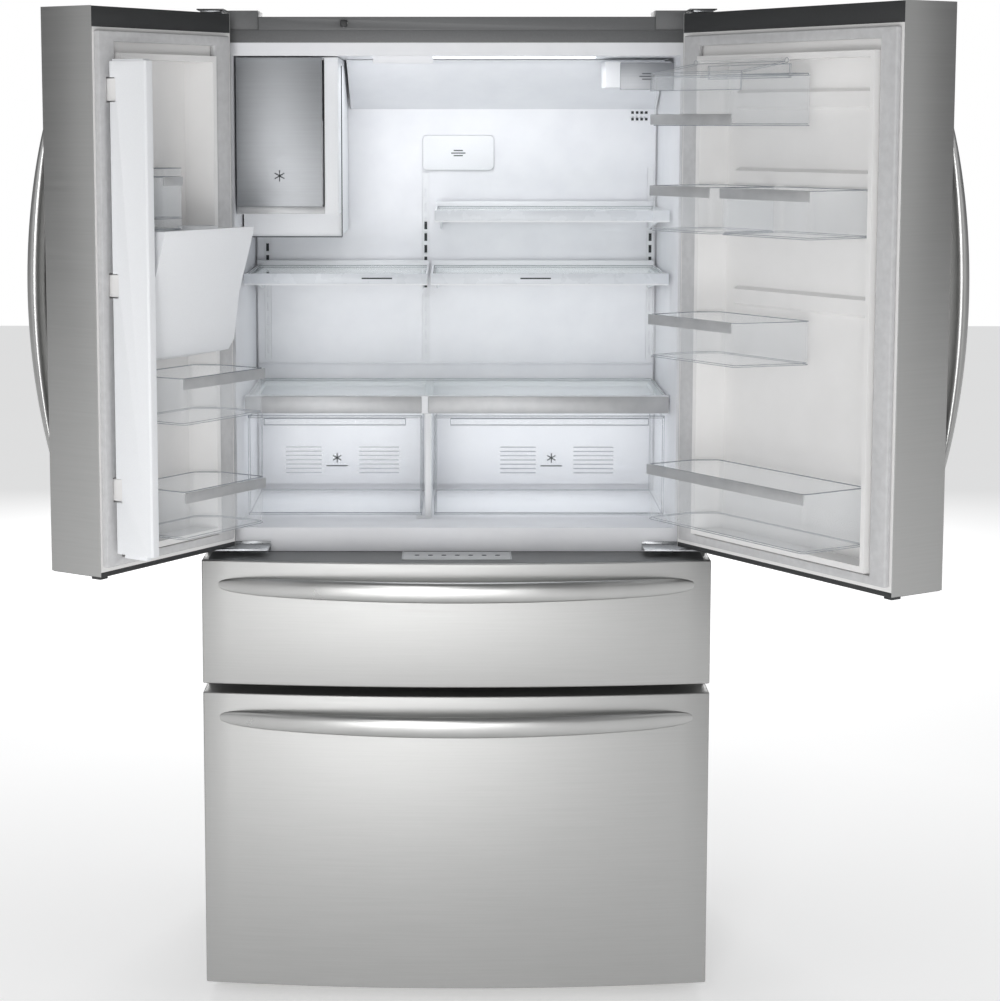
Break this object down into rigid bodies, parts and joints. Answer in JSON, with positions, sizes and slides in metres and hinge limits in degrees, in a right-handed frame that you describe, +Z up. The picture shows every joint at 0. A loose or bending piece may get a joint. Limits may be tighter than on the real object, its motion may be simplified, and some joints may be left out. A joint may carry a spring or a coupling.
{
  "type": "french door refrigerator",
  "caption": "Upright refrigerator with unequal hinged doors standing open over a shallow drawer and a deep freezer drawer, with shelves, bins, crispers and ice maker.",
  "frame": {"origin": "on the floor, midway between the case's sides, in the plane of the drawer fronts' outer corners", "axes": "+Z up, +X to the right as seen from the front, +Y from the front to the back"},
  "size_m": [1.561, 1.1279, 1.783],
  "materials": {
    "case_paint": "satin",
    "galvanised_sheet": "satin",
    "foam": "matte",
    "liner_plastic": "satin",
    "dark_plastic": "matte",
    "hinge_steel": "satin",
    "black_enamel": "satin",
    "coil_aluminium": "satin",
    "shelf_glass": "gloss",
    "silver_trim": "satin",
    "clear_plastic": "gloss",
    "stainless": "satin",
    "foamed_front": "satin",
    "foamed_liner": "satin",
    "handle_steel": "polished",
    "gasket_grey": "matte",
    "black_gloss": "gloss",
    "switch_plastic": "satin"
  },
  "bodies": {
    "cabinet": {"case_shell": "case_paint", "back_covers": "galvanised_sheet", "foam_insulation": "foam", "fresh_food_liner": "liner_plastic", "drawer_liners": "liner_plastic", "top_cover": "dark_plastic", "hinge_brackets": "hinge_steel", "hinge_screws": "hinge_steel", "base_frame": "galvanised_sheet", "toe_grille": "dark_plastic", "levelling_legs": "dark_plastic", "compressor": "black_enamel", "condenser": "black_enamel", "fan_shroud": "galvanised_sheet", "water_valve": "dark_plastic", "cord_gland": "dark_plastic", "evaporator": "coil_aluminium", "evaporator_cover": "liner_plastic", "air_duct_panel": "liner_plastic", "shelf_ladders": "hinge_steel", "shelf_frames": "liner_plastic", "shelf_glass": "shelf_glass", "crisper_frame": "silver_trim", "ice_maker_box": "liner_plastic", "ice_mould": "coil_aluminium", "water_filter": "liner_plastic", "air_filter_cover": "liner_plastic", "drawer_rails": "galvanised_sheet"},
    "left_door": {"left_door_panel": "stainless", "left_door_liner": "foamed_liner", "left_door_gasket": "gasket_grey", "left_door_caps": "dark_plastic", "left_door_handle": "handle_steel", "left_door_bins": "clear_plastic", "dispenser_housing": "liner_plastic", "dispenser_bezel": "black_gloss"},
    "paddle": {"dispenser_paddle": "black_gloss"},
    "flipper": {"flipper_mullion": "liner_plastic"},
    "right_door": {"right_door_panel": "stainless", "right_door_liner": "foamed_liner", "right_door_gasket": "gasket_grey", "right_door_caps": "dark_plastic", "right_door_handle": "handle_steel", "right_door_bins": "clear_plastic"},
    "lid": {"dairy_lid": "clear_plastic"},
    "middle_drawer": {"middle_drawer_front": "foamed_front", "middle_drawer_tub": "liner_plastic", "middle_drawer_handle": "handle_steel"},
    "freezer_drawer": {"freezer_drawer_front": "foamed_front", "freezer_drawer_handle": "handle_steel", "freezer_tub": "liner_plastic"},
    "basket": {"freezer_basket": "clear_plastic"},
    "crisper_left": {"left_crisper": "clear_plastic"},
    "crisper_right": {"right_crisper": "clear_plastic"},
    "ice_bucket": {"ice_bin": "liner_plastic"},
    "condenser_rotor": {"condenser_fan": "dark_plastic"},
    "evaporator_rotor": {"evaporator_fan": "dark_plastic"},
    "roller_left": {"left_roller": "dark_plastic"},
    "roller_right": {"right_roller": "dark_plastic"},
    "switch_plunger": {"door_switch": "switch_plastic"}
  },
  "joints": [
    {"name": "left_door_hinge", "type": "hinge", "parent": "cabinet", "child": "left_door", "pos_m": [-0.434, 0.045, 1.3], "axis": [0, 0, -1], "range_deg": [-123.5, 7]},
    {"name": "right_door_hinge", "type": "hinge", "parent": "cabinet", "child": "right_door", "pos_m": [0.434, 0.045, 1.3], "axis": [0, 0, 1], "range_deg": [-123.1, 7.4]},
    {"name": "flipper_hinge", "type": "hinge", "parent": "left_door", "child": "flipper", "pos_m": [-0.55494, -0.24371, 1.28], "axis": [0, 0, 1], "range_deg": [-90, 0]},
    {"name": "paddle_hinge", "type": "hinge", "parent": "left_door", "child": "paddle", "pos_m": [-0.5054, -0.08642, 1.336], "axis": [-0.5519, -0.8339, 0], "range_deg": [0, 12], "stiffness_Nm_per_rad": 0.6},
    {"name": "lid_hinge", "type": "hinge", "parent": "right_door", "child": "lid", "pos_m": [0.4741, -0.12821, 1.688], "axis": [-0.5461, 0.8377, 0], "range_deg": [0, 95]},
    {"name": "middle_drawer_slide", "type": "slide", "parent": "cabinet", "child": "middle_drawer", "axis": [0, -1, 0], "range_m": [0, 0.4]},
    {"name": "freezer_drawer_slide", "type": "slide", "parent": "cabinet", "child": "freezer_drawer", "axis": [0, -1, 0], "range_m": [0, 0.34]},
    {"name": "basket_slide", "type": "slide", "parent": "freezer_drawer", "child": "basket", "axis": [0, 1, 0], "range_m": [0, 0.07]},
    {"name": "left_crisper_slide", "type": "slide", "parent": "cabinet", "child": "crisper_left", "axis": [0, -1, 0], "range_m": [0, 0.23]},
    {"name": "right_crisper_slide", "type": "slide", "parent": "cabinet", "child": "crisper_right", "axis": [0, -1, 0], "range_m": [0, 0.23]},
    {"name": "ice_bin_slide", "type": "slide", "parent": "cabinet", "child": "ice_bucket", "axis": [0, -1, 0], "range_m": [0, 0.3]},
    {"name": "condenser_fan_spin", "type": "hinge", "parent": "cabinet", "child": "condenser_rotor", "pos_m": [0.215, 0.595, 0.14], "axis": [1, 0, 0], "continuous": true},
    {"name": "evaporator_fan_spin", "type": "hinge", "parent": "cabinet", "child": "evaporator_rotor", "pos_m": [0, 0.486, 0.515], "axis": [0, -1, 0], "continuous": true},
    {"name": "left_roller_spin", "type": "hinge", "parent": "cabinet", "child": "roller_left", "pos_m": [-0.38, 0.63, 0.02], "axis": [1, 0, 0], "continuous": true},
    {"name": "right_roller_spin", "type": "hinge", "parent": "cabinet", "child": "roller_right", "pos_m": [0.38, 0.63, 0.02], "axis": [1, 0, 0], "continuous": true},
    {"name": "door_switch_press", "type": "slide", "parent": "cabinet", "child": "switch_plunger", "axis": [0, 1, 0], "range_m": [0, 0.006], "stiffness_N_per_m": 200}
  ]
}
